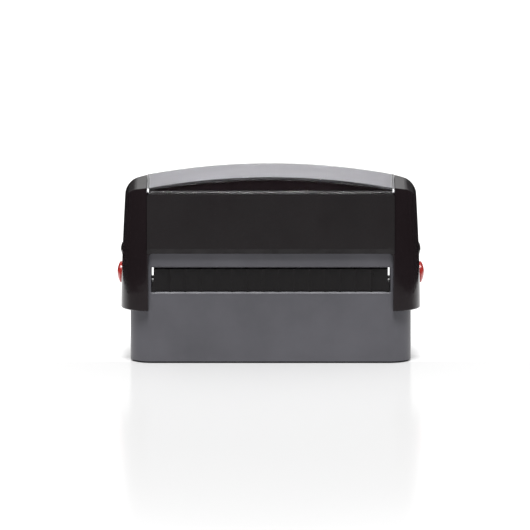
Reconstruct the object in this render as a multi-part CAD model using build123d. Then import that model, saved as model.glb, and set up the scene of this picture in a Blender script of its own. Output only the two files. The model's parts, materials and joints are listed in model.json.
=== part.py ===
from build123d import *

import math
import os

# A self-inking stamp: a base with a swappable ink cartridge, a sprung cap that is
# pressed down, and a printing die that turns over on its way to the paper.
#
# Millimetres, +Z up, the front faces -Y.  The origin is on the table under the middle.

os.makedirs("parts", exist_ok=True)

# --- Driving dimensions -------------------------------------------------------------

BASE_WIDTH = 88.2
BASE_DEPTH = 26.5
BASE_TOP = 36.0
BASE_FOOT = 0.5  # height of the casing's lower edge, on its grip ring
BASE_CORNER = 7.0
BASE_WALL = 1.8
RING_INSET = 0.5
RING_WIDTH = 0.9
RING_GROOVE = 0.4

WINDOW_WIDTH = 75.1  # opening for the ink cartridge, through the front and back walls
WINDOW_LOW = 22.6
WINDOW_HIGH = 30.4
WINDOW_BEVEL = 0.45
DECK_THICKNESS = 2.0  # floor of the spring bay, over the cartridge

TRACK_INNER = 36.1  # inner face of each side wall that guides the die
TRACK_OUTER = 39.0
TRACK_DEPTH = 1.2

STROKE = 15.0
REST_GAP = 0.1  # between the die and the ink pad at rest
DIE_HEIGHT = 3.8  # printing face above the axle
AXLE_HEIGHT = WINDOW_LOW - DIE_HEIGHT
AXLE_RADIUS = 1.2
AXLE_END = 46.0  # each pin is fixed in a blind socket in the cap's leg
FIT = 0.05
SLIDE_FIT = 0.1

CARRIER_LENGTH = 70.8
CARRIER_DEPTH = 10.0
CARRIER_TOP = 2.0  # above the axle
CARRIER_BOTTOM = -1.3
CUSHION_THICKNESS = 0.6
DIE_LENGTH = 70.0
DIE_SHEET = 0.5
FOLLOWER_ARM = 3.0  # from the axle to each guide pin
FOLLOWER_RADIUS = 0.8

CARTRIDGE_WIDTH = 73.6
CARTRIDGE_DEPTH = 26.0
EAR_REACH = WINDOW_WIDTH / 2 - 0.15  # the front ears run along the window's ends
EAR_THICKNESS = 1.5
CARTRIDGE_LOW = WINDOW_LOW + REST_GAP
CARTRIDGE_HIGH = WINDOW_HIGH - 0.5
PAD_LENGTH = 71.6
PAD_DEPTH = 11.6
PAD_THICKNESS = 3.4
GRIP_WAVES = 15
GRIP_WAVE_DEPTH = 0.9
GRIP_MARGIN = 0.4  # plain at each end of the waves

CAP_LOW = 16.65
CAP_SIDE = ((CAP_LOW, 47.1), (34.3, 46.65), (52.0, 45.8), (60.0, 45.35))  # (z, half width)
CAP_DEPTH = 29.5
CAP_CORNER = 9.5
CAP_CAVITY_HALF_WIDTH = 44.6
CAP_CAVITY_DEPTH = 27.0
CAP_CAVITY_CORNER = 7.6
CAP_CAVITY_TOP = 51.3
SHOULDER_RADIUS = 5.0
ARCH_TOP = 59.4
ARCH_RADIUS = 212.0
LEG_INNER = 38.5
MOUTH_TOP = 34.95  # top of the opening between the legs
MOUTH_CORNER = 1.5
MOUTH_BEVEL_SIDE = 0.8
MOUTH_BEVEL_TOP = 1.6
MOUTH_BEVEL_DEPTH = 0.6

COVER_DEPTH = 30.0
COVER_HALF_WIDTH = 38.9
COVER_LOW = 54.35  # lower edge of the clear cover
COVER_WALL = 0.6
COVER_END = 0.7
COVER_CHAMFER = 0.6
RAIL_HEIGHT = 0.5  # low rails join the cover's ends at the front and back
RAIL_THICKNESS = 0.6
CARD_THICKNESS = 0.3
PANEL_TOP = 53.95
PANEL_THICKNESS = 0.8

SPRING_X = 24.0
SPRING_RADIUS = 3.9
SPRING_WIRE = 0.4  # radius of the wire
SPRING_TURNS = 5.5
SPRING_TOP = 53.0
COLLAR_GAP = 0.7  # round the foot of each spring
COLLAR_WALL = 1.0
COLLAR_HEIGHT = 3.0
SPIGOT_RADIUS = 2.9  # on the cap's ceiling, inside the top of each spring

BUTTON_Z = 27.0
BUTTON_RADIUS = 3.35
BUTTON_REACH = 48.3
BUTTON_STEM = 1.4
COLLAR_RADIUS = 3.9  # the button's collar, which keeps it in the leg
NUB_Z = 34.4
NUB_RADIUS = 2.1

DECK_TOP = WINDOW_HIGH + DECK_THICKNESS


# --- Helpers ------------------------------------------------------------------------


def arch_height(x, below=0.0):
    """Height of the cap's arched top at x, or of a surface the given depth below it."""
    return ARCH_TOP - below - ARCH_RADIUS + math.sqrt(ARCH_RADIUS**2 - x**2)


def upright(face_width, face_depth, corner, low, high):
    """A rounded rectangle in plan, standing from low to high."""
    plan = RectangleRounded(face_width, face_depth, corner)
    return Pos(0, 0, low) * extrude(plan, high - low)


def block(low, high):
    """A plain box between two opposite corners."""
    size = [b - a for a, b in zip(low, high)]
    middle = [(a + b) / 2 for a, b in zip(low, high)]
    return Pos(*middle) * Box(*size)


def mirrored_block(x_low, x_high, y, z_low, z_high):
    """The same box on both sides, symmetric front to back."""
    right = block((x_low, -y, z_low), (x_high, y, z_high))
    return right + mirror(right, Plane.YZ)


def along_x(radius, x_low, x_high, y=0.0, z=0.0):
    """A round bar lying along X."""
    bar = Cylinder(radius, x_high - x_low, rotation=(0, 90, 0))
    return Pos((x_low + x_high) / 2, y, z) * bar


def under_arch(half_width, depth, low, below):
    """A block with an arched top, the given depth below the cap's outer arch."""
    end = arch_height(half_width, below)
    outline = [
        Line((-half_width, low), (half_width, low)),
        Line((half_width, low), (half_width, end)),
        ThreePointArc((half_width, end), (0, ARCH_TOP - below), (-half_width, end)),
        Line((-half_width, end), (-half_width, low)),
    ]
    face = Plane.XZ * make_face(outline)
    return extrude(face, depth / 2, both=True)


def both_sides(right):
    """The right-hand piece and its mirror image, as (left, right)."""
    return mirror(right, Plane.YZ), right


# --- Base ---------------------------------------------------------------------------


def follower_place(share, offset=0.0):
    """Where a guide pin is (y, z) after this share of the cap's stroke.

    The die turns evenly through half a turn as the cap goes down.  An offset gives the
    point that far to the side of the pin's path.
    """
    angle = math.pi * share
    y = FOLLOWER_ARM * math.cos(angle)
    z = AXLE_HEIGHT - STROKE * share + FOLLOWER_ARM * math.sin(angle)
    along_y = -FOLLOWER_ARM * math.sin(angle)
    along_z = FOLLOWER_ARM * math.cos(angle) - STROKE / math.pi
    length = math.hypot(along_y, along_z)
    return y - offset * along_z / length, z + offset * along_y / length


def follower_groove():
    """The cam groove that a guide pin runs in, in the right-hand track wall."""
    radius = FOLLOWER_RADIUS + SLIDE_FIT
    shares = [step / 14 for step in range(15)]
    one_side = [follower_place(share, radius) for share in shares]
    other_side = [follower_place(share, -radius) for share in reversed(shares)]
    start_y, start_z = follower_place(0)
    end_y, end_z = follower_place(1)
    outline = [
        Spline(*one_side),
        ThreePointArc(one_side[-1], (end_y, end_z - radius), other_side[0]),
        Spline(*other_side),
        ThreePointArc(other_side[-1], (start_y, start_z + radius), one_side[0]),
    ]
    face = Pos(TRACK_INNER, 0, 0) * (Plane.YZ * make_face(outline))
    return extrude(face, TRACK_DEPTH, dir=(1, 0, 0))


def axle_slot():
    """The upright slot in both walls of the right-hand side, for the axle pin."""
    radius = AXLE_RADIUS + SLIDE_FIT
    low = AXLE_HEIGHT - STROKE
    outer = BASE_WIDTH / 2 + 1
    slot = block((TRACK_INNER - 1, -radius, low), (outer, radius, AXLE_HEIGHT))
    for z in (low, AXLE_HEIGHT):
        slot += along_x(radius, TRACK_INNER - 1, outer, 0, z)
    return slot


def base_block(inset, low, high):
    """An upright block that follows the base's outline, set in from it."""
    width = BASE_WIDTH - 2 * inset
    depth = BASE_DEPTH - 2 * inset
    return upright(width, depth, BASE_CORNER - inset, low, high)


def ring(inset, width, low, high):
    """A frame that follows the base's outline, set in from it."""
    return base_block(inset, low, high) - base_block(inset + width, low, high)


def window_bevel():
    """The bevelled rim of the cartridge window, cut into the front wall."""
    front = -BASE_DEPTH / 2
    height = WINDOW_HIGH - WINDOW_LOW
    middle = (WINDOW_HIGH + WINDOW_LOW) / 2
    faces = []
    for spread, y in ((WINDOW_BEVEL, front), (0, front + WINDOW_BEVEL)):
        rim = RectangleRounded(
            WINDOW_WIDTH + 2 * spread, height + 2 * spread, 0.3 + spread
        )
        faces.append(Pos(0, y, middle) * (Plane.XZ * rim))
    return loft(faces)


def base_casing():
    casing = base_block(0, BASE_FOOT, BASE_TOP)
    casing -= base_block(BASE_WALL, BASE_FOOT, WINDOW_HIGH)
    casing -= base_block(BASE_WALL, DECK_TOP, BASE_TOP)

    # Track walls carry the cam grooves, and their tops are the cartridge's rails.
    wall_depth = BASE_DEPTH / 2 - BASE_WALL / 2
    casing += mirrored_block(TRACK_INNER, TRACK_OUTER, wall_depth, BASE_FOOT, WINDOW_LOW)
    guide = WINDOW_WIDTH / 2
    casing += mirrored_block(guide, TRACK_OUTER, wall_depth, WINDOW_LOW, WINDOW_HIGH)

    # Collars on the deck keep the return springs in place.
    inner = SPRING_RADIUS + COLLAR_GAP
    for x in (-SPRING_X, SPRING_X):
        collar = Cylinder(inner + COLLAR_WALL, COLLAR_HEIGHT)
        collar -= Cylinder(inner, COLLAR_HEIGHT)
        casing += Pos(x, 0, DECK_TOP + COLLAR_HEIGHT / 2) * collar

    casing -= block(
        (-guide, -BASE_DEPTH, WINDOW_LOW), (guide, BASE_DEPTH, WINDOW_HIGH)
    )
    bevel = window_bevel()
    casing -= bevel
    casing -= mirror(bevel, Plane.XZ)

    for cut in (axle_slot(), follower_groove(), lock_hole()):
        casing -= cut
        casing -= mirror(cut, Plane.YZ)

    casing -= ring(RING_INSET, RING_WIDTH, BASE_FOOT, BASE_FOOT + RING_GROOVE)
    return casing


def lock_hole():
    """Where the right-hand button's stem goes in to hold the cap up."""
    outer = BASE_WIDTH / 2
    return along_x(BUTTON_STEM + 0.2, outer - BASE_WALL - 0.5, outer + 1, 0, BUTTON_Z)


def base_grip_ring():
    return ring(RING_INSET, RING_WIDTH, 0, BASE_FOOT + RING_GROOVE)


# --- Ink cartridge ------------------------------------------------------------------


def cartridge_ears():
    """The slanted foot and the small tab at the front of the right-hand end."""
    body = CARTRIDGE_WIDTH / 2
    root = body - 1
    foot_high = CARTRIDGE_LOW + 1.7
    slope_high = CARTRIDGE_LOW + 3.4
    tab_low = CARTRIDGE_LOW + 4.1
    tab_high = CARTRIDGE_LOW + 5.0
    outline = Polyline(
        (root, CARTRIDGE_LOW),
        (EAR_REACH, CARTRIDGE_LOW),
        (EAR_REACH, foot_high),
        (body, slope_high),
        (body, tab_low),
        (EAR_REACH, tab_low),
        (EAR_REACH, tab_high),
        (root, tab_high),
        close=True,
    )
    ears = extrude(Plane.XZ * make_face(outline), EAR_THICKNESS, dir=(0, 1, 0))
    return Pos(0, -CARTRIDGE_DEPTH / 2, 0) * ears


def grip_wave():
    """Plan of the wavy strip cut from the cartridge's front face for the fingers."""
    half = CARTRIDGE_WIDTH / 2 - GRIP_MARGIN
    pitch = 2 * half / GRIP_WAVES
    front = -CARTRIDGE_DEPTH / 2
    edges = []
    for wave in range(GRIP_WAVES):
        start = -half + wave * pitch
        middle = (start + pitch / 2, front + GRIP_WAVE_DEPTH)
        edges.append(ThreePointArc((start, front), middle, (start + pitch, front)))
    edges.append(Line((half, front), (half, front - 1)))
    edges.append(Line((half, front - 1), (-half, front - 1)))
    edges.append(Line((-half, front - 1), (-half, front)))
    return make_face(edges)


def cartridge_tray():
    half_width = CARTRIDGE_WIDTH / 2
    half_tray = CARTRIDGE_DEPTH / 2
    tray = block(
        (-half_width, -half_tray, CARTRIDGE_LOW), (half_width, half_tray, CARTRIDGE_HIGH)
    )
    ears = cartridge_ears()
    tray += ears
    tray += mirror(ears, Plane.YZ)

    full_height = CARTRIDGE_HIGH - CARTRIDGE_LOW + 2
    waves = Pos(0, 0, CARTRIDGE_LOW - 1) * extrude(grip_wave(), full_height)
    tray -= waves
    tray -= mirror(waves, Plane.XZ)

    pocket_top = CARTRIDGE_LOW + PAD_THICKNESS
    half_length = PAD_LENGTH / 2
    half_depth = PAD_DEPTH / 2
    tray -= block(
        (-half_length, -half_depth, CARTRIDGE_LOW), (half_length, half_depth, pocket_top)
    )

    # The front and back grips are hollow from above, with cross ribs left standing.
    cells = 8
    rib = 1.0
    length = 70.0
    cell_depth = 3.4
    cell_y = 9.0
    pitch = length / cells
    for side in (-1, 1):
        for cell in range(cells):
            x = (cell + 0.5) * pitch - length / 2
            hollow = upright(pitch - rib, cell_depth, 0.5, CARTRIDGE_LOW + 1, WINDOW_HIGH)
            tray -= Pos(x, side * cell_y, 0) * hollow
    return tray


def ink_pad():
    half_length = PAD_LENGTH / 2
    half_depth = PAD_DEPTH / 2
    return block(
        (-half_length, -half_depth, CARTRIDGE_LOW),
        (half_length, half_depth, CARTRIDGE_LOW + PAD_THICKNESS),
    )


# --- Turning die --------------------------------------------------------------------


def die_carrier():
    half_length = CARRIER_LENGTH / 2
    half_depth = CARRIER_DEPTH / 2
    bottom = AXLE_HEIGHT + CARRIER_BOTTOM
    top = AXLE_HEIGHT + CARRIER_TOP
    carrier = block((-half_length, -half_depth, bottom), (half_length, half_depth, top))

    # The back is ribbed: hollow cells between cross ribs and one long middle rib.
    cells = 10
    rib = 1.0
    cell_height = 1.9
    solid_end = 4.5
    length = CARRIER_LENGTH - 2 * solid_end
    pitch = length / cells
    cell_y = (half_depth + rib / 2) / 2
    cell_depth = half_depth - 2 * rib
    for cell in range(cells):
        x = -length / 2 + (cell + 0.5) * pitch
        for side in (-1, 1):
            hollow = upright(pitch - rib, cell_depth, 0.4, bottom, bottom + cell_height)
            carrier -= Pos(x, side * cell_y, 0) * hollow

    # Bosses at the ends take the axle pins and the guide pins.
    boss_radius = 2.6
    boss_length = 4.0
    boss = along_x(boss_radius, half_length - boss_length, half_length, 0, AXLE_HEIGHT)
    boss -= block((0, -boss_radius, top), (half_length, boss_radius, top + boss_radius))
    bore_end = half_length - boss_length + 0.1
    bore = along_x(AXLE_RADIUS + FIT, bore_end, half_length + 1, 0, AXLE_HEIGHT)
    socket = along_x(
        FOLLOWER_RADIUS, half_length - 2.0, half_length + 1, FOLLOWER_ARM, AXLE_HEIGHT
    )
    carrier += boss
    carrier += mirror(boss, Plane.YZ)
    for cut in (bore, socket):
        carrier -= cut
        carrier -= mirror(cut, Plane.YZ)
    return carrier


def die_cushion():
    low = AXLE_HEIGHT + CARRIER_TOP
    return upright(DIE_LENGTH, CARRIER_DEPTH, 0.5, low, low + CUSHION_THICKNESS)


def rubber_die():
    """A plain test plate: a border, rules of different lengths and a round mark."""
    low = AXLE_HEIGHT + CARRIER_TOP + CUSHION_THICKNESS
    face = AXLE_HEIGHT + DIE_HEIGHT
    relief = low + DIE_SHEET
    die = upright(DIE_LENGTH, CARRIER_DEPTH, 0.5, low, relief)

    margin = 0.3
    line = 0.6
    inner = 2 * (margin + line)
    border = upright(DIE_LENGTH - 2 * margin, CARRIER_DEPTH - 2 * margin, 0.6, relief, face)
    border -= upright(DIE_LENGTH - inner, CARRIER_DEPTH - inner, 0.4, relief, face)
    die += border

    rule_start = -20.0
    for y, length in ((2.4, 42.0), (0.8, 50.0), (-0.8, 46.0), (-2.4, 30.0)):
        low_corner = (rule_start, y - line / 2, relief)
        die += block(low_corner, (rule_start + length, y + line / 2, face))

    mark_x = -27.5
    rise = face - relief
    mark = Cylinder(3.2, rise) - Cylinder(2.5, rise) + Cylinder(1.5, rise)
    die += Pos(mark_x, 0, relief + rise / 2) * mark
    return die


def axle_pin():
    inner = CARRIER_LENGTH / 2 - 3.6
    return along_x(AXLE_RADIUS, inner, AXLE_END, 0, AXLE_HEIGHT)


def guide_pin():
    inner = CARRIER_LENGTH / 2 - 2.0
    outer = TRACK_INNER + TRACK_DEPTH - 0.2
    return along_x(FOLLOWER_RADIUS, inner, outer, FOLLOWER_ARM, AXLE_HEIGHT)


# --- Cap ----------------------------------------------------------------------------


def cap_body():
    """The cap's outer form: a round-cornered block that narrows upwards to an arch."""
    plans = [
        Pos(0, 0, z) * RectangleRounded(2 * half_width, CAP_DEPTH, CAP_CORNER)
        for z, half_width in CAP_SIDE
    ]
    body = loft(plans)
    body = fillet(body.edges().group_by(Axis.Z)[0], 0.4)

    spare = 0.05  # outside the block's sides
    (low_z, low_x), (waist_z, waist_x), (_, high_x) = CAP_SIDE[:3]
    high_z = arch_height(high_x + spare)
    outline = [
        Line((-low_x - spare, low_z), (low_x + spare, low_z)),
        ThreePointArc(
            (low_x + spare, low_z), (waist_x + spare, waist_z), (high_x + spare, high_z)
        ),
        ThreePointArc((high_x + spare, high_z), (0, ARCH_TOP), (-high_x - spare, high_z)),
        ThreePointArc(
            (-high_x - spare, high_z), (-waist_x - spare, waist_z), (-low_x - spare, low_z)
        ),
    ]
    face = make_face(outline)
    shoulders = face.vertices().sort_by(Axis.Y)[-2:]
    front = Plane.XZ * fillet(shoulders, SHOULDER_RADIUS)
    return body & extrude(front, CAP_DEPTH, both=True)


def mouth_bevel():
    """The bevelled edge of the opening between the legs, at the front."""
    faces = []
    front = -COVER_DEPTH / 2
    for share in (1, 0):
        half = LEG_INNER + MOUTH_BEVEL_SIDE * share
        top = MOUTH_TOP + MOUTH_BEVEL_TOP * share
        y = front + (1 - share) * (MOUTH_BEVEL_DEPTH + 0.1)
        rim = Rectangle(2 * half, top - CAP_LOW + 1)
        rim = fillet(rim.vertices().sort_by(Axis.Y)[-2:], MOUTH_CORNER)
        faces.append(Pos(0, y, (top + CAP_LOW - 1) / 2) * (Plane.XZ * rim))
    return loft(faces)


def mouth():
    """The opening between the legs, right through the cap."""
    height = MOUTH_TOP - CAP_LOW + 1
    rim = Rectangle(2 * LEG_INNER, height)
    rim = fillet(rim.vertices().sort_by(Axis.Y)[-2:], MOUTH_CORNER)
    face = Pos(0, 0, (MOUTH_TOP + CAP_LOW - 1) / 2) * (Plane.XZ * rim)
    return extrude(face, COVER_DEPTH, both=True)


def panel_blank(grow=0.0):
    """The raised matt panel on the cap's front, before its lower edge is bevelled."""
    low = CAP_LOW
    high = PANEL_TOP + grow
    rim = Rectangle(2 * (COVER_HALF_WIDTH + grow), high - low)
    rim = fillet(rim.vertices().sort_by(Axis.Y)[-2:], 1.0)
    face = Pos(0, -COVER_DEPTH / 2, (high + low) / 2) * (Plane.XZ * rim)
    return extrude(face, PANEL_THICKNESS, dir=(0, 1, 0))


def below_mouth():
    """Everything lower than the top of the opening between the legs."""
    return block((-50, -20, CAP_LOW - 2), (50, 20, MOUTH_TOP))


def front_panel():
    return panel_blank() - mouth() - mouth_bevel() - below_mouth()


def cap_shell():
    shell = cap_body()

    # The seat for the clear cover, round the arched deck that carries the index card.
    seat = under_arch(COVER_HALF_WIDTH + 0.1, COVER_DEPTH + 2, COVER_LOW - 0.1, -2)
    card_deck = under_arch(
        COVER_HALF_WIDTH - COVER_END - 0.1,
        COVER_DEPTH - 2 * RAIL_THICKNESS - 0.2,
        COVER_LOW - 1,
        COVER_WALL + CARD_THICKNESS + 0.1,
    )
    shell -= seat - card_deck

    # The main hollow takes the base; the one over it follows the arch.
    shell -= upright(
        2 * CAP_CAVITY_HALF_WIDTH,
        CAP_CAVITY_DEPTH,
        CAP_CAVITY_CORNER,
        CAP_LOW,
        CAP_CAVITY_TOP,
    )
    ceiling = 2.6  # below the arch
    shell -= under_arch(35.5, 24.6, CAP_CAVITY_TOP - 0.5, ceiling)
    rib_low = CAP_CAVITY_TOP + 0.6
    rib_high = 54.0
    for x in (-30, -16, -6, 6, 16, 30):
        shell += block((x - 0.5, -12.5, rib_low), (x + 0.5, 12.5, rib_high))

    # Each return spring bears on a boss, and a spigot keeps it in place.
    spigot = 3.0
    for x in (-SPRING_X, SPRING_X):
        height = arch_height(SPRING_X, ceiling - 0.2) - SPRING_TOP
        shell += Pos(x, 0, SPRING_TOP + height / 2) * Cylinder(5.5, height)
        shell += Pos(x, 0, SPRING_TOP - spigot / 2) * Cylinder(SPIGOT_RADIUS, spigot)

    # The opening between the legs, and the shallow seats of the two matt panels.
    shell -= mouth()
    pocket = panel_blank(0.05) - below_mouth()
    for cut in (mouth_bevel(), pocket):
        shell -= cut
        shell -= mirror(cut, Plane.XZ)

    for cut in (axle_socket(), button_seat()):
        shell -= cut
        shell -= mirror(cut, Plane.YZ)
    nub = side_nub()
    shell += nub
    shell += mirror(nub, Plane.YZ)
    return shell


def axle_socket():
    return along_x(AXLE_RADIUS, CAP_CAVITY_HALF_WIDTH - 1, AXLE_END, 0, AXLE_HEIGHT)


def button_seat():
    """The stepped hole in the right-hand leg for its lock button."""
    seat = along_x(BUTTON_RADIUS + FIT, 44.0, BUTTON_REACH, 0, BUTTON_Z)
    step = 46.0
    seat += along_x(COLLAR_RADIUS + 0.2, CAP_CAVITY_HALF_WIDTH - 1, step, 0, BUTTON_Z)
    return seat


def turned(edges, z):
    """A round piece made by turning a profile, given as (x, radius), about its axis."""
    return Pos(0, 0, z) * revolve(make_face(edges), Axis.X)


def dome(x_low, radius, rise):
    """Profile of a shallow dome, from its rim at x_low to its tip on the axis."""
    ball = (radius**2 + rise**2) / (2 * rise)
    half_angle = math.asin(radius / ball) / 2
    middle = (
        x_low + rise - ball + ball * math.cos(half_angle),
        ball * math.sin(half_angle),
    )
    return ThreePointArc((x_low, radius), middle, (x_low + rise, 0))


def side_nub():
    """A small raised lens on the right-hand leg, over the button."""
    root = 45.6
    rim = 46.7
    rise = 0.5
    edges = [
        Line((rim + rise, 0), (root, 0)),
        Line((root, 0), (root, NUB_RADIUS)),
        Line((root, NUB_RADIUS), (rim, NUB_RADIUS)),
        dome(rim, NUB_RADIUS, rise),
    ]
    return turned(edges, NUB_Z)


def lock_button():
    """Round domed button with a collar inside the leg and a short locking stem."""
    stem, collar, shoulder, rim = 44.35, 45.3, 45.9, 47.4
    profile = Polyline(
        (BUTTON_REACH, 0),
        (stem, 0),
        (stem, BUTTON_STEM),
        (collar, BUTTON_STEM),
        (collar, COLLAR_RADIUS),
        (shoulder, COLLAR_RADIUS),
        (shoulder, BUTTON_RADIUS),
        (rim, BUTTON_RADIUS),
    )
    return turned([profile, dome(rim, BUTTON_RADIUS, BUTTON_REACH - rim)], BUTTON_Z)


def return_spring():
    """A compression spring between the base's deck and the cap's ceiling."""
    low = DECK_TOP + SPRING_WIRE + 0.05
    high = SPRING_TOP - SPRING_WIRE - 0.05
    height = high - low
    coil = Helix(height / SPRING_TURNS, height, SPRING_RADIUS)
    wire = Plane(coil @ 0, z_dir=coil % 0) * Circle(SPRING_WIRE)
    return Pos(SPRING_X, 0, low) * sweep(wire, path=coil)


# --- Clear cover and card -----------------------------------------------------------


def index_window():
    cover = under_arch(COVER_HALF_WIDTH, COVER_DEPTH, COVER_LOW, 0)
    inner = COVER_HALF_WIDTH - COVER_END
    cover -= under_arch(inner, COVER_DEPTH + 2, COVER_LOW + RAIL_HEIGHT, COVER_WALL)
    cover -= under_arch(inner, COVER_DEPTH - 2 * RAIL_THICKNESS, COVER_LOW - 1, COVER_WALL)
    lower_corners = cover.edges().filter_by(Axis.Y).group_by(Axis.Z)[0]
    outer = lower_corners.sort_by(Axis.X)
    return chamfer([outer[0], outer[-1]], COVER_CHAMFER)


def index_card():
    half_width = COVER_HALF_WIDTH - COVER_END - 0.2
    depth = COVER_DEPTH - 2 * RAIL_THICKNESS - 0.3
    top = COVER_WALL + 0.05
    card = under_arch(half_width, depth, COVER_LOW, top)
    card -= under_arch(half_width + 1, depth + 2, COVER_LOW - 1, top + CARD_THICKNESS)
    return card


# --- Write the pieces ---------------------------------------------------------------

pieces = {
    "base_casing": base_casing(),
    "base_grip_ring": base_grip_ring(),
    "cartridge_tray": cartridge_tray(),
    "ink_pad": ink_pad(),
    "die_carrier": die_carrier(),
    "die_cushion": die_cushion(),
    "rubber_die": rubber_die(),
    "cap_shell": cap_shell(),
    "front_panel": front_panel(),
    "back_panel": mirror(front_panel(), Plane.XZ),
    "index_window": index_window(),
    "index_card": index_card(),
}
for name, right in (
    ("axle_pin", axle_pin()),
    ("guide_pin", guide_pin()),
    ("return_spring", return_spring()),
    ("lock_button", lock_button()),
):
    pieces["left_" + name], pieces["right_" + name] = both_sides(right)

for name, piece in pieces.items():
    export_step(piece, f"parts/{name}.step")
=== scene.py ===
"""Looks of the self-inking stamp: materials, soft and sprung pieces, studio and camera.

Everything is in metres in the CAD frame: +Z up, the front faces -Y.
"""

import json
import math

import bmesh
import bpy
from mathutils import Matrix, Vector, noise


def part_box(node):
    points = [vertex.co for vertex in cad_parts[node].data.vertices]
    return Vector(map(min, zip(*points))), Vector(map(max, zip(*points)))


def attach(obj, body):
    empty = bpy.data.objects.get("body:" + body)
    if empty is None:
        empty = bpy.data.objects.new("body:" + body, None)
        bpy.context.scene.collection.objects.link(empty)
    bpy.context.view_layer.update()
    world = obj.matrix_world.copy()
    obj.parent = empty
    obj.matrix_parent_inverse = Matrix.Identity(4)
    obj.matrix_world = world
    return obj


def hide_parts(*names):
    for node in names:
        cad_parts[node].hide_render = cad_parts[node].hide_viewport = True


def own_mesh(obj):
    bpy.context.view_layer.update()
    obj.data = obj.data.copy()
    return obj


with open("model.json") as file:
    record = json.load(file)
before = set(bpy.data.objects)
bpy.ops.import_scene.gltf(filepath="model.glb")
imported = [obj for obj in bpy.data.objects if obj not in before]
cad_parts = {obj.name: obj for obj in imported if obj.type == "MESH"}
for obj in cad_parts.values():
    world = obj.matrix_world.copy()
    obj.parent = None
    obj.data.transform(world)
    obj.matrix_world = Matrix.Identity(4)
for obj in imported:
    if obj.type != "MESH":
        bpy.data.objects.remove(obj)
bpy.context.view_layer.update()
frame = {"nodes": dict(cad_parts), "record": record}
nodes = frame["nodes"]

MM = 0.001


# --- Small helpers for node trees -----------------------------------------------------


class Tree:
    """A material's node tree, with one Principled shader, built a node at a time."""

    def __init__(self, name):
        self.material = bpy.data.materials.new(name)
        self.material.use_nodes = True
        self.nodes = self.material.node_tree.nodes
        self.links = self.material.node_tree.links
        self.shader = self.nodes["Principled BSDF"]
        self.place = self.add("ShaderNodeTexCoord").outputs["Object"]

    def add(self, kind, **settings):
        """A new node.  Options are set first, because they decide which inputs it has."""
        node = self.nodes.new(kind)
        for key, value in settings.items():
            if hasattr(node, key):
                setattr(node, key, value)
        for key, value in settings.items():
            if not hasattr(node, key):
                self.feed(node.inputs[key.replace("_", " ")], value)
        return node

    def feed(self, socket, value):
        """Links an output to the socket, or sets the socket to a plain value."""
        if isinstance(value, bpy.types.NodeSocket):
            self.links.new(value, socket)
        else:
            socket.default_value = value

    def math(self, operation, first, second=0.0):
        node = self.add("ShaderNodeMath", operation=operation)
        self.feed(node.inputs[0], first)
        self.feed(node.inputs[1], second)
        return node.outputs[0]

    def remap(self, value, low, high, to_low=0.0, to_high=1.0):
        """Maps a value from one range to another, without leaving the second."""
        node = self.add("ShaderNodeMapRange", clamp=True)
        for socket, item in zip(node.inputs, (value, low, high, to_low, to_high)):
            self.feed(socket, item)
        return node.outputs[0]

    def mix(self, share, first, second):
        """A colour between two colours."""
        node = self.add("ShaderNodeMix", data_type="RGBA")
        self.feed(node.inputs[0], share)
        self.feed(node.inputs[6], first)
        self.feed(node.inputs[7], second)
        return node.outputs[2]

    def noise(self, size, detail=3.0, roughness=0.55, stretch=(1, 1, 1)):
        """Noise with features about this size, in metres."""
        place = self.place
        if stretch != (1, 1, 1):
            mapping = self.add("ShaderNodeMapping", Scale=stretch, Vector=place)
            place = mapping.outputs[0]
        node = self.add("ShaderNodeTexNoise", Scale=1 / size)
        self.feed(node.inputs["Vector"], place)
        self.feed(node.inputs["Detail"], detail)
        self.feed(node.inputs["Roughness"], roughness)
        return node.outputs["Fac"]

    def cells(self, size):
        """Distance to the middle of rounded cells about this size, in metres."""
        node = self.add("ShaderNodeTexVoronoi", feature="F1", Scale=1 / size)
        self.feed(node.inputs["Vector"], self.place)
        return node.outputs["Distance"]

    def rounded(self, radius):
        """Normals that look as if edges were rounded by this radius."""
        return self.add("ShaderNodeBevel", samples=4, Radius=radius).outputs[0]

    def edges(self, radius):
        """1 along convex and concave edges, 0 on open surfaces."""
        true_normal = self.add("ShaderNodeNewGeometry").outputs["Normal"]
        node = self.add("ShaderNodeVectorMath", operation="DOT_PRODUCT")
        self.links.new(self.rounded(radius), node.inputs[0])
        self.links.new(true_normal, node.inputs[1])
        return self.remap(node.outputs["Value"], 0.995, 0.8)

    def bump(self, height, distance, normal=None):
        """A normal from a height between 0 and 1, which stands for this distance."""
        node = self.add("ShaderNodeBump", Strength=1.0, Distance=distance)
        self.feed(node.inputs["Height"], height)
        if normal is not None:
            self.feed(node.inputs["Normal"], normal)
        return node.outputs[0]

    def set(self, **inputs):
        """Sets or links inputs of the shader."""
        for key, value in inputs.items():
            self.feed(self.shader.inputs[key.replace("_", " ")], value)


def rgb(red, green, blue):
    """An opaque colour in linear light."""
    return (red, green, blue, 1.0)


def scaled(colour, factor):
    """The same hue, lighter or darker."""
    return tuple(min(1.0, part * factor) for part in colour[:3]) + (1.0,)


# --- Materials ------------------------------------------------------------------------


DUST = rgb(0.5, 0.49, 0.47)
DUST_SHARE = 0.015
GRAZING = (0.35, 0.85)  # facing values between which the gloss changes to its rim level


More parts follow.
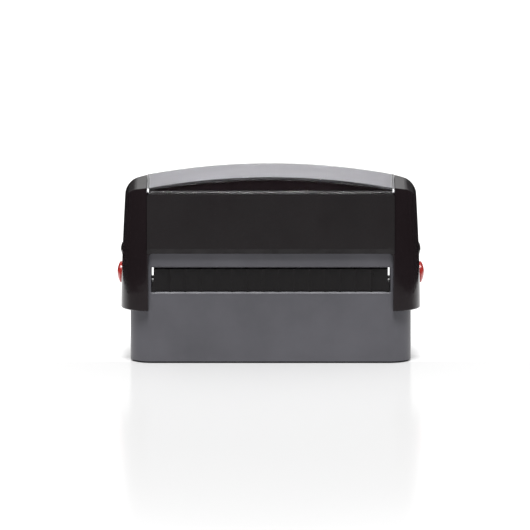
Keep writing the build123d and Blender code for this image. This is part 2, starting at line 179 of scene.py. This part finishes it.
def moulded(name, colour, rough, grain, depth, level, wear_and_highlight, edge=0.0003, rim=1.0):
    """Injection-moulded plastic: grain, uneven gloss, faint mottling, rubbed edges and painted
    highlight on them.

    The grain's size and depth are in metres.  The gloss has this level where the surface
    faces the viewer, and rim times that where it is seen at a slant.
    """
    t = Tree(name)
    mottle = t.noise(0.018, 4)
    smudge = t.noise(0.006, 3, stretch=(1, 1, 0.5))
    fine = t.noise(grain, 2, 0.6)
    dust = t.remap(t.noise(0.0009, 2), 0.66, 0.85)
    # paler edges, concave ones too, where the noise lets them: partly rubbing, partly painted
    # highlight
    wear_and_highlight_mask = t.math("MULTIPLY", t.edges(edge), t.remap(t.noise(0.004, 3), 0.3, 0.7, 0.3, 1))

    dark = t.mix(t.remap(mottle, 0.3, 0.7), scaled(colour, 0.88), scaled(colour, 1.12))
    speckled = t.mix(t.math("MULTIPLY", dust, DUST_SHARE), dark, DUST)
    # painted highlight and rubbing: the edges turn to a much lighter colour
    worn_and_highlit = t.mix(t.math("MULTIPLY", wear_and_highlight_mask, wear_and_highlight), speckled, scaled(colour, 3.2))
    gloss = t.remap(smudge, 0.3, 0.7, rough * 0.8, rough * 1.25)
    uneven = t.math("MULTIPLY", gloss, t.remap(fine, 0.3, 0.7, 0.85, 1.15))

    facing = t.add("ShaderNodeLayerWeight", Blend=0.5).outputs["Facing"]
    t.set(Base_Color=worn_and_highlit, Roughness=uneven)
    t.set(Specular_IOR_Level=t.remap(facing, *GRAZING, level, level * rim))
    t.set(Normal=t.bump(fine, depth, t.rounded(edge)))
    return t.material


def rubber(name, colour, rough=0.62):
    """Rubber: matt, with a fine pebble, paler scuffs and a dusty bloom."""
    t = Tree(name)
    pebble = t.cells(0.00025)
    scuff = t.remap(t.noise(0.003, 4, stretch=(0.4, 1, 1)), 0.55, 0.75)
    bloom = t.noise(0.01, 3)
    base = t.mix(t.remap(bloom, 0.3, 0.7), scaled(colour, 0.85), scaled(colour, 1.2))
    t.set(Base_Color=t.mix(t.math("MULTIPLY", scuff, 0.3), base, scaled(colour, 2.2)))
    t.set(Roughness=t.remap(bloom, 0.3, 0.7, rough, rough + 0.15))
    t.set(Specular_IOR_Level=0.35)
    t.set(Normal=t.bump(pebble, 0.00001, t.rounded(0.0002)))
    return t.material


def steel(name, rough, lines):
    """Drawn or turned steel with fine lines and a light stain."""
    t = Tree(name)
    line = t.noise(0.0004, 3, stretch=lines)
    stain = t.noise(0.004, 3)
    bright = t.mix(t.remap(stain, 0.35, 0.7), rgb(0.52, 0.52, 0.54), rgb(0.68, 0.68, 0.69))
    t.set(Base_Color=bright, Metallic=1.0)
    t.set(Roughness=t.remap(line, 0.3, 0.7, rough - 0.07, rough + 0.12))
    t.set(Normal=t.bump(line, 0.000004, t.rounded(0.0001)))
    return t.material


def clear_plastic(name):
    """Clear moulded acrylic with hairline scratches that are a little duller."""
    t = Tree(name)
    scratch = t.remap(t.noise(0.0016, 4, 0.7, stretch=(0.12, 3, 1)), 0.70, 0.76)
    t.set(Base_Color=rgb(0.97, 0.975, 0.985), IOR=1.49, Transmission_Weight=1.0)
    t.set(Roughness=t.math("ADD", t.math("MULTIPLY", scratch, 0.06), 0.01))
    t.set(Normal=t.bump(scratch, 0.000001, t.rounded(0.00006)))
    return t.material


EDGE_ON = (0.86, 0.885)  # facing values between which the card's face turns to painted shade
# the card's dark underside and edges, also used as painted shade
CARD_BACK_AND_PAINTED_SHADE = rgb(0.012, 0.010, 0.011)


def card(name):
    """Silver-grey card, silver on its upper face only.

    The face also turns dark where it is seen nearly edge-on, as painted shade.  Paper doesn't
    do
    that: it is there to keep the cover's rim dark, through which the card is seen at such an
    angle.
    """
    t = Tree(name)
    fibre = t.noise(0.0006, 4, 0.7, stretch=(0.25, 1, 1))
    cloud = t.noise(0.012, 3)
    base = t.mix(t.remap(cloud, 0.3, 0.7), rgb(0.51, 0.495, 0.545), rgb(0.56, 0.545, 0.595))
    tint = t.mix(t.remap(fibre, 0.35, 0.65, 0, 0.25), base, rgb(0.45, 0.44, 0.48))
    facing = t.add("ShaderNodeLayerWeight", Blend=0.5).outputs["Facing"]
    # painted shade where the face is seen nearly edge-on
    flat_on = t.remap(facing, *EDGE_ON, 1, 0)
    upward = t.add("ShaderNodeSeparateXYZ")
    t.links.new(t.add("ShaderNodeNewGeometry").outputs["Normal"], upward.inputs[0])
    silver = t.math("MULTIPLY", t.remap(upward.outputs["Z"], 0.3, 0.6), flat_on)
    t.set(Base_Color=t.mix(silver, CARD_BACK_AND_PAINTED_SHADE, tint), Specular_IOR_Level=0.4)
    t.set(Roughness=t.remap(fibre, 0.3, 0.7, 0.42, 0.58))
    t.set(Normal=t.bump(fibre, 0.000008))
    return t.material


def felt(name, colour):
    """Ink-soaked felt: matted fibres, wetter and shinier in patches."""
    t = Tree(name)
    fibre = t.noise(0.0005, 5, 0.75, stretch=(0.5, 1, 1))
    wet = t.remap(t.noise(0.006, 4), 0.4, 0.65)
    t.set(Base_Color=t.mix(t.remap(fibre, 0.3, 0.7), scaled(colour, 0.6), scaled(colour, 2)))
    t.set(Roughness=t.remap(wet, 0, 1, 0.9, 0.38))
    t.set(Sheen_Weight=0.25)
    t.set(Normal=t.bump(fibre, 0.00012))
    return t.material


def foam(name, colour):
    """Fine-celled adhesive foam."""
    t = Tree(name)
    cell = t.cells(0.0002)
    t.set(Base_Color=t.mix(t.remap(cell, 0, 0.6), scaled(colour, 0.55), colour))
    t.set(Roughness=t.remap(t.noise(0.002), 0.3, 0.7, 0.8, 0.95))
    t.set(Normal=t.bump(cell, 0.00006))
    return t.material


finishes = {
    "base_plastic": moulded(
        "base_plastic", rgb(0.092, 0.0905, 0.1025), 0.42, 0.00040, 0.000012, 0.35, 0.12
    ),
    "cap_plastic": moulded(
        "cap_plastic", rgb(0.0135, 0.0097, 0.0110), 0.08, 0.00050, 0.000002, 0.17, 0.12, rim=5.0
    ),
    "panel_plastic": moulded(
        "panel_plastic", rgb(0.0102, 0.0079, 0.0088), 0.5, 0.00045, 0.00003, 0.25, 0.25
    ),
    "cartridge_plastic": moulded(
        "cartridge_plastic", rgb(0.0076, 0.0066, 0.0071), 0.38, 0.0004, 0.00001, 0.25, 0.3
    ),
    "carrier_plastic": moulded(
        "carrier_plastic", rgb(0.014, 0.014, 0.016), 0.35, 0.0004, 0.00001, 0.35, 0.25
    ),
    "button_plastic": moulded(
        "button_plastic", rgb(0.46, 0.030, 0.024), 0.25, 0.0004, 0.000003, 0.5, 0.05
    ),
    "grip_rubber": rubber("grip_rubber", rgb(0.022, 0.022, 0.024)),
    "die_rubber": rubber("die_rubber", rgb(0.26, 0.05, 0.035), 0.5),
    "pin_steel": steel("pin_steel", 0.28, (12, 1, 1)),
    "spring_steel": steel("spring_steel", 0.22, (1, 1, 6)),
    "clear_plastic": clear_plastic("clear_plastic"),
    "card_paper": card("card_paper"),
    "ink_felt": felt("ink_felt", rgb(0.010, 0.010, 0.016)),
    "cushion_foam": foam("cushion_foam", rgb(0.36, 0.35, 0.33)),
}
slot_of = {s["node"]: s["material_slot"] for s in frame["record"]["subparts"]}


def paint(piece, finish):
    """Gives the piece this finish and no other."""
    piece.data.materials.clear()
    piece.data.materials.append(finish)


for node, piece in nodes.items():
    paint(piece, finishes[slot_of[node]])


# --- Pieces made here -----------------------------------------------------------------


def new_piece(name, mesh_maker, node, body):
    """A mesh piece that stands for a CAD node, with that node's finish."""
    mesh = bpy.data.meshes.new(name)
    bm = bmesh.new()
    mesh_maker(bm)
    bmesh.ops.recalc_face_normals(bm, faces=bm.faces)
    bm.to_mesh(mesh)
    bm.free()
    mesh.shade_smooth()
    piece = bpy.data.objects.new(name, mesh)
    bpy.context.scene.collection.objects.link(piece)
    paint(piece, finishes[slot_of[node]])
    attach(piece, body)
    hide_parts(node)
    return piece


def tube_along(bm, points, radius, sides=10):
    """A round tube through a list of points, closed at both ends."""
    rings = []
    for index, point in enumerate(points):
        before = points[max(index - 1, 0)]
        after = points[min(index + 1, len(points) - 1)]
        along = (after - before).normalized()
        out = Vector((point.x, point.y, 0)).normalized()
        across = along.cross(out).normalized()
        out = across.cross(along)
        ring = []
        for side in range(sides):
            angle = math.tau * side / sides
            spoke = math.cos(angle) * out + math.sin(angle) * across
            ring.append(bm.verts.new(point + radius * spoke))
        rings.append(ring)
    for ring, following in zip(rings, rings[1:]):
        for side in range(sides):
            turn = (side + 1) % sides
            bm.faces.new((ring[side], ring[turn], following[turn], following[side]))
    bm.faces.new(rings[0])
    bm.faces.new(rings[-1])


WIRE_RADIUS = 0.4 * MM
SPRING_TURNS = 7.0
CLOSED_TURNS = 0.9  # turns lying flat at each end
CLOSED_PITCH = 2.05 * WIRE_RADIUS  # rise of a closed turn, a little over the wire
PITCH_DRIFT = 0.02  # how far the open turns stray from even spacing
SPRING_STEPS = 220


def spring_maker(low, high):
    """A compression spring with closed ends, between the corners of its CAD box."""
    radius = (high.x - low.x) / 2 - WIRE_RADIUS
    middle = (low + high) / 2
    bottom = low.z + WIRE_RADIUS
    top = high.z - WIRE_RADIUS

    def height(turn):
        """Height at a turn: about one wire a turn in the closed ends, open between them."""
        rise = CLOSED_PITCH * CLOSED_TURNS
        if turn < CLOSED_TURNS:
            return bottom + CLOSED_PITCH * turn
        if turn > SPRING_TURNS - CLOSED_TURNS:
            return top - CLOSED_PITCH * (SPRING_TURNS - turn)
        share = (turn - CLOSED_TURNS) / (SPRING_TURNS - 2 * CLOSED_TURNS)
        smooth = share + PITCH_DRIFT * math.sin(math.tau * share)
        return bottom + rise + smooth * (top - bottom - 2 * rise)

    def make(bm):
        points = []
        for step in range(SPRING_STEPS + 1):
            turn = SPRING_TURNS * step / SPRING_STEPS
            angle = math.tau * turn
            x = radius * math.cos(angle)
            y = radius * math.sin(angle)
            points.append(Vector((x, y, height(turn))))
        tube_along(bm, points, WIRE_RADIUS)
        bmesh.ops.translate(bm, vec=(middle.x, middle.y, 0), verts=bm.verts)

    return make


for side in ("left", "right"):
    node = f"{side}_return_spring"
    low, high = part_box(node)
    spring = new_piece(f"{side}_spring_coil", spring_maker(low, high), node, "base")
    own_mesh(spring)


TREMOR_SCALE = 900  # bumps of the soft faces per metre


def soft_block_maker(low, high, corner, crown, step, tremor):
    """A soft slab with rounded edges and a slightly crowned, uneven lower face."""
    size = high - low
    middle = (low + high) / 2

    def make(bm):
        across = [max(2, round(size[axis] / step)) for axis in range(3)]
        bmesh.ops.create_cube(bm, size=1.0)
        for axis in range(3):
            cuts = [k / across[axis] - 0.5 for k in range(1, across[axis])]
            for cut in cuts:
                geom = bm.verts[:] + bm.edges[:] + bm.faces[:]
                place = [0.0, 0.0, 0.0]
                place[axis] = cut
                normal = [0.0, 0.0, 0.0]
                normal[axis] = 1.0
                bmesh.ops.bisect_plane(bm, geom=geom, plane_co=place, plane_no=normal)
        for vert in bm.verts:
            place = Vector([vert.co[axis] * size[axis] for axis in range(3)])
            inner = [
                max(-size[axis] / 2 + corner, min(size[axis] / 2 - corner, place[axis]))
                for axis in range(3)
            ]
            offset = place - Vector(inner)
            if offset.length > corner:
                place = Vector(inner) + offset.normalized() * corner
            if place.z < 0:
                along = 1 - (2 * place.x / size.x) ** 4
                wide = 1 - (2 * place.y / size.y) ** 2
                bumps = noise.noise(place * TREMOR_SCALE) * tremor
                place.z -= (crown * along * wide + bumps) * min(1.0, -2 * place.z / size.z)
            vert.co = middle + place

    return make


PAD_MARGIN = Vector((0.1, 0.1, 0.0)) * MM  # the felt is cut smaller than its CAD block
PAD_CROWN = 0.02 * MM  # how far the middle of the felt's lower face bulges

low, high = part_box("ink_pad")
low += PAD_MARGIN
high -= PAD_MARGIN
low.z += PAD_CROWN
pad = new_piece(
    "felt_pad", soft_block_maker(low, high, 0.35 * MM, PAD_CROWN, 0.7 * MM, 0.04 * MM),
    "ink_pad", "cartridge",
)  # fmt: skip

low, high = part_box("die_cushion")
cushion = new_piece(
    "foam_cushion", soft_block_maker(low, high, 0.22 * MM, 0, 0.5 * MM, 0.0),
    "die_cushion", "die",
)  # fmt: skip


CARD_SHEET = 0.3 * MM  # the card's thickness
CARD_GAP = 0.05 * MM  # between the card and the cover in the CAD model
CARD_PRESS = 0.03 * MM  # the card is pressed into the cover, so that no air is between
CARD_STEPS = 80


def card_maker(low, high, rise):
    """An arched sheet with the extent of the card's CAD box, raised towards the cover."""
    half = (high.x - low.x) / 2
    middle = (high.x + low.x) / 2
    end_drop = high.z - low.z - CARD_SHEET
    radius = (half**2 + end_drop**2) / (2 * end_drop)

    def make(bm):
        rings = []
        for step in range(CARD_STEPS + 1):
            x = half * (2 * step / CARD_STEPS - 1)
            top = high.z + rise - radius + math.sqrt(radius**2 - x**2)
            bottom = top - CARD_SHEET
            corners = ((low.y, top), (high.y, top), (high.y, bottom), (low.y, bottom))
            rings.append([bm.verts.new((middle + x, y, z)) for y, z in corners])
        for ring, following in zip(rings, rings[1:]):
            for side in range(4):
                turn = (side + 1) % 4
                bm.faces.new((ring[side], ring[turn], following[turn], following[side]))
        bm.faces.new(rings[0])
        bm.faces.new(rings[-1])

    return make


low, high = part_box("index_card")
card_sheet = new_piece(
    "silver_card", card_maker(low, high, CARD_GAP + CARD_PRESS), "index_card", "cap"
)
card_sheet.data.shade_flat()


# --- Studio ---------------------------------------------------------------------------


FLOOR_REACH = 6.0
FLOOR_HEIGHT = -0.02 * MM
UNLIT_HEIGHT = -0.2 * MM
CIRCLE_SIDES = 96
LIT_REACH = 0.21  # the studio beyond this distance is dark in reflections
FLOOR_FADE = (0.12, 0.6)  # distances between which the floor turns from its painted shade close to the stamp to its lighter colour
BEHIND = (-0.012, 0.004)  # depths between which the floor turns to its lit part
KEY_HEIGHT = 68.0  # degrees over the horizon
KEY_SPREAD = 20.0  # degrees across
KEY_POWER = 3.6
BACKLIGHT = 0.35  # painted light: the floor behind the stamp glows, as if lit from below on a light table
# Each ramp of the sky: where it starts and ends along its direction, and its light there.
SKY_LOW = (0.105, 0.15, 0.04, 0.55)  # the tent starts a little over the horizon
SKY_HIGH = (0.3, 0.9, 1.0, 1.3)  # it gets brighter overhead
SKY_FRONT = (-0.6, 0.2, 0.35, 1.0)  # and is dimmer on the camera's side


def stage_mesh(name, corners, faces, height, finish):
    """A flat stage object from its corners in plan, at the given height."""
    mesh = bpy.data.meshes.new(name)
    mesh.from_pydata([(x, y, 0) for x, y in corners], [], faces)
    stage = bpy.data.objects.new(name, mesh)
    stage.location.z = height
    bpy.context.scene.collection.objects.link(stage)
    stage.data.materials.append(finish)
    return stage


def circle(radius):
    """Corners of a circle in plan."""
    turns = [math.tau * side / CIRCLE_SIDES for side in range(CIRCLE_SIDES)]
    return [(radius * math.cos(turn), radius * math.sin(turn)) for turn in turns]


def pale_floor():
    """A pale, softly glossy finish: painted shade close to the stamp, lighter far off and
    behind it, where it also glows with painted light.
    """
    t = Tree("studio_floor")
    cloud = t.remap(t.noise(0.15, 2), 0.3, 0.7)
    reach = t.add("ShaderNodeVectorMath", operation="LENGTH")
    t.links.new(t.place, reach.inputs[0])
    # painted shade: a darker colour close to the stamp
    painted_shade_close = t.mix(cloud, rgb(0.89, 0.89, 0.89), rgb(0.90, 0.90, 0.90))
    split = t.add("ShaderNodeSeparateXYZ", Vector=t.place)
    behind = t.remap(split.outputs["Y"], *BEHIND)
    # painted light: the colour is lighter far off and behind the stamp
    far = t.math("MAXIMUM", t.remap(reach.outputs["Value"], *FLOOR_FADE), behind)
    t.set(Base_Color=t.mix(far, painted_shade_close, rgb(0.97, 0.97, 0.97)))
    t.set(Roughness=0.16, Specular_IOR_Level=0.4)
    # painted light: the floor glows behind the stamp
    t.set(Emission_Color=rgb(1, 1, 1), Emission_Strength=t.math("MULTIPLY", behind, BACKLIGHT))
    return t.material


def dark_floor():
    """The dull dark finish of what the stamp mirrors beyond the lit patch."""
    t = Tree("studio_dark")
    cloud = t.remap(t.noise(0.15, 2), 0.3, 0.7)
    t.set(Base_Color=t.mix(cloud, rgb(0.03, 0.03, 0.03), rgb(0.04, 0.04, 0.04)))
    t.set(Roughness=0.9, Specular_IOR_Level=0.0)
    return t.material


def studio_floor():
    """A pale floor in two parts, and under it a dark ring that only reflections see."""
    patch = circle(LIT_REACH)
    around = patch + circle(FLOOR_REACH)
    band = []
    for side in range(CIRCLE_SIDES):
        turn = (side + 1) % CIRCLE_SIDES
        band.append((side, turn, CIRCLE_SIDES + turn, CIRCLE_SIDES + side))

    pale = pale_floor()
    stage_mesh("studio_floor", patch, [tuple(range(CIRCLE_SIDES))], FLOOR_HEIGHT, pale)
    outer = stage_mesh("studio_floor_outer", around, band, FLOOR_HEIGHT, pale)
    outer.visible_glossy = False

    unlit = stage_mesh("studio_unlit", around, band, UNLIT_HEIGHT, dark_floor())
    unlit.visible_camera = False
    unlit.visible_diffuse = False
    unlit.visible_shadow = False
    unlit.visible_transmission = False


def soft_key():
    """One soft light, very far off, from above and in front."""
    light = bpy.data.lights.new("key", "SUN")
    light.angle = math.radians(KEY_SPREAD)
    light.energy = KEY_POWER
    lamp = bpy.data.objects.new("key", light)
    height = math.radians(KEY_HEIGHT)
    aim = Vector((0, math.cos(height), -math.sin(height)))
    lamp.rotation_euler = aim.to_track_quat("-Z", "Y").to_euler()
    bpy.context.scene.collection.objects.link(lamp)


def studio_world():
    """A white tent that starts a little over the horizon and is brightest overhead."""
    world = bpy.data.worlds.new("studio")
    world.use_nodes = True
    bpy.context.scene.world = world
    tree = world.node_tree
    background = tree.nodes["Background"]
    direction = tree.nodes.new("ShaderNodeTexCoord").outputs["Generated"]
    split = tree.nodes.new("ShaderNodeSeparateXYZ")
    tree.links.new(direction, split.inputs[0])

    def ramp(axis, start, end, low, high):
        """A smooth step from low to high along one axis of the view direction."""
        node = tree.nodes.new("ShaderNodeMapRange")
        node.interpolation_type = "SMOOTHSTEP"
        tree.links.new(split.outputs[axis], node.inputs["Value"])
        values = (start, end, low, high)
        for key, value in zip(("From Min", "From Max", "To Min", "To Max"), values):
            node.inputs[key].default_value = value
        return node.outputs[0]

    def product(first, second):
        """Two outputs multiplied."""
        node = tree.nodes.new("ShaderNodeMath")
        node.operation = "MULTIPLY"
        tree.links.new(first, node.inputs[0])
        tree.links.new(second, node.inputs[1])
        return node.outputs[0]

    light = product(ramp("Z", *SKY_LOW), ramp("Z", *SKY_HIGH))
    light = product(light, ramp("Y", *SKY_FRONT))
    tree.links.new(light, background.inputs["Strength"])
    background.inputs["Color"].default_value = (1.0, 1.0, 1.0, 1.0)


studio_floor()
studio_world()
soft_key()


# --- Camera ---------------------------------------------------------------------------

ELEVATION = math.radians(8.9)
DISTANCE = 4.0
FRAME_WIDTH = 0.167  # width of the view at the stamp, in metres
SENSOR = 36.0  # millimetres, as the lens is

target = Vector((-0.0018, 0, 0.02915))
camera_data = bpy.data.cameras.new("camera")
camera_data.sensor_width = SENSOR
camera_data.lens = SENSOR * DISTANCE / FRAME_WIDTH
camera_data.clip_start = 0.5
camera = bpy.data.objects.new("camera", camera_data)
towards = Vector((0, math.cos(ELEVATION), -math.sin(ELEVATION)))
camera.location = target - DISTANCE * towards
camera.rotation_euler = towards.to_track_quat("-Z", "Y").to_euler()
bpy.context.scene.collection.objects.link(camera)
bpy.context.scene.camera = camera

bpy.context.scene.view_settings.view_transform = "Standard"
bpy.context.scene.view_settings.look = "None"
bpy.context.scene.cycles.max_bounces = 16
bpy.context.scene.cycles.transmission_bounces = 12
